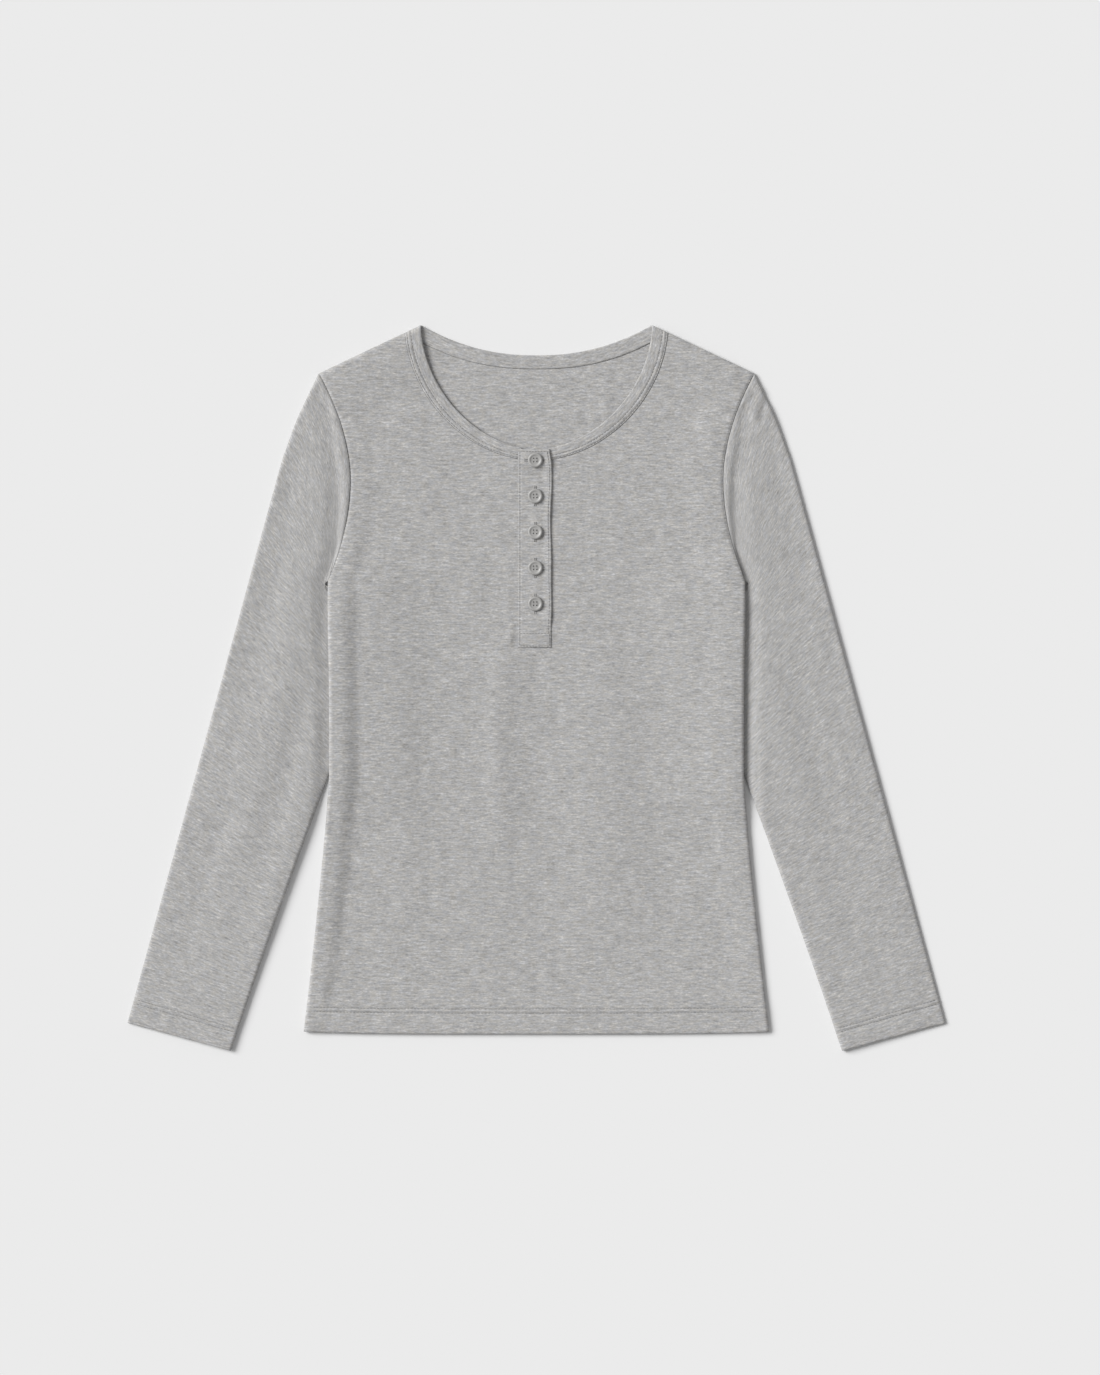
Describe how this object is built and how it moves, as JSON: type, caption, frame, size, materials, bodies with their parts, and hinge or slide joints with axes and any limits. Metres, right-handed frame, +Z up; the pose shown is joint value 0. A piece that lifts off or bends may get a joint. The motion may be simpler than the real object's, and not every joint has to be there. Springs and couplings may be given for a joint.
{
  "type": "henley shirt",
  "caption": "Long-sleeve henley shirt laid flat, with a bound scoop neck and a short buttoned placket.",
  "frame": {"origin": "middle of the shirt's outline, on the surface that it lies on", "axes": "+X across the shirt towards its left sleeve as it is worn, +Y from hem to neck, +Z up out of the front"},
  "size_m": [0.7034, 0.624, 0.0083],
  "materials": {
    "knit": "brushed melange cotton interlock, matt with a soft nap",
    "button": "four-hole resin button dyed to the cloth, satin gloss on its rim"
  },
  "bodies": {
    "root": {"back_panel": "knit", "front_panel": "knit", "sleeve_left": "knit", "sleeve_right": "knit", "neck_binding": "knit", "placket_top": "knit", "placket_under": "knit", "button_1": "button", "button_2": "button", "button_3": "button", "button_4": "button", "button_5": "button"}
  },
  "joints": []
}
